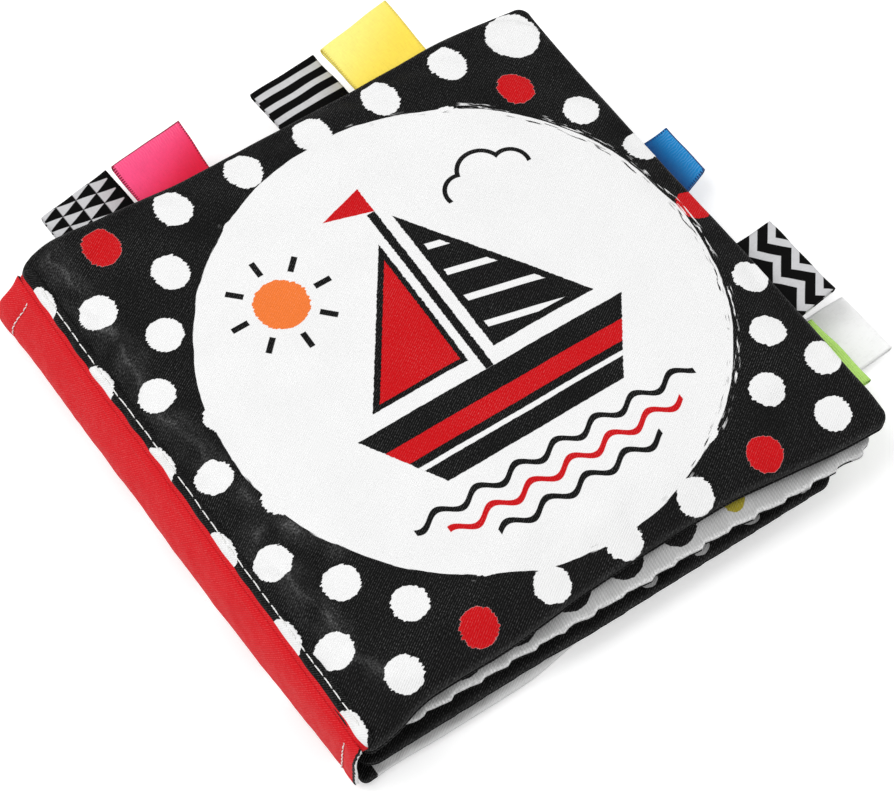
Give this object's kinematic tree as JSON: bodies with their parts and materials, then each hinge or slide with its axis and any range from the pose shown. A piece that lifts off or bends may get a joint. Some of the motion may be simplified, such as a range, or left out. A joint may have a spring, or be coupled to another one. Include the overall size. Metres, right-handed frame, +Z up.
{
  "type": "baby book",
  "caption": "Soft cloth baby book with padded crinkle leaves sewn to a padded spine and folded ribbon tags round its edges; the cover and leaves open.",
  "frame": {"origin": "centre of the closed book's bounding box on the surface that it lies on, the tags included", "axes": "+X from the spine to the fore edge, +Y from the foot to the head of the page, +Z up from the back cover to the front cover"},
  "size_m": [0.2034, 0.1948, 0.0309],
  "materials": {
    "black_cloth": "matt printed twill",
    "white_cloth": "matt printed twill",
    "red_cloth": "matt printed twill",
    "wadding": "polyester wadding",
    "crinkle_film": "thin rustling film",
    "white_thread": "sewing thread",
    "yellow_satin": "satin ribbon",
    "pink_satin": "satin ribbon with looped edges",
    "blue_satin": "satin ribbon",
    "green_grosgrain": "ribbed ribbon",
    "printed_ribbon": "white ribbon with a black geometric print",
    "label_ribbon": "plain white label tape"
  },
  "bodies": {
    "back_cover": {"back_cover_inner_panel": "white_cloth", "back_cover_outer_panel": "black_cloth", "back_cover_wadding": "wadding", "back_cover_crinkle_film": "crinkle_film", "back_ridge_stitching": "white_thread", "tag_white_label": "label_ribbon"},
    "spine": {"spine_outer_panel": "red_cloth", "spine_lining": "black_cloth", "spine_wadding": "wadding", "spine_head_stitching": "white_thread", "spine_foot_stitching": "white_thread"},
    "front_cover": {"front_cover_outer_panel": "black_cloth", "front_cover_inner_panel": "black_cloth", "front_cover_wadding": "wadding", "front_cover_crinkle_film": "crinkle_film", "front_ridge_stitching": "white_thread", "tag_yellow": "yellow_satin"},
    "leaf_a": {"leaf_a_upper_panel": "white_cloth", "leaf_a_lower_panel": "black_cloth", "leaf_a_wadding": "wadding", "leaf_a_crinkle_film": "crinkle_film", "leaf_a_gutter_stitching": "white_thread", "tag_stripes": "printed_ribbon", "tag_pink": "pink_satin", "tag_chevron": "printed_ribbon"},
    "leaf_b": {"leaf_b_upper_panel": "black_cloth", "leaf_b_lower_panel": "black_cloth", "leaf_b_wadding": "wadding", "leaf_b_crinkle_film": "crinkle_film", "leaf_b_gutter_stitching": "white_thread", "tag_triangles": "printed_ribbon", "tag_blue": "blue_satin", "tag_green": "green_grosgrain"}
  },
  "joints": [
    {"name": "spine_hinge", "type": "hinge", "parent": "back_cover", "child": "spine", "pos_m": [-0.09775, -0.0114, 0.004], "axis": [0, -1, 0], "range_deg": [0, 90]},
    {"name": "front_cover_hinge", "type": "hinge", "parent": "spine", "child": "front_cover", "pos_m": [-0.09775, -0.0114, 0.0269], "axis": [0, -1, 0], "range_deg": [0, 90]},
    {"name": "leaf_a_hinge", "type": "hinge", "parent": "spine", "child": "leaf_a", "pos_m": [-0.09735, -0.0114, 0.0191], "axis": [0, -1, 0], "range_deg": [-22.5, 0]},
    {"name": "leaf_b_hinge", "type": "hinge", "parent": "spine", "child": "leaf_b", "pos_m": [-0.09735, -0.0114, 0.0118], "axis": [0, -1, 0], "range_deg": [-45, 0]}
  ],
  "couplings": [
    {"joint": "leaf_a_hinge", "follows": "spine_hinge", "ratio": -0.25},
    {"joint": "leaf_b_hinge", "follows": "spine_hinge", "ratio": -0.5}
  ]
}
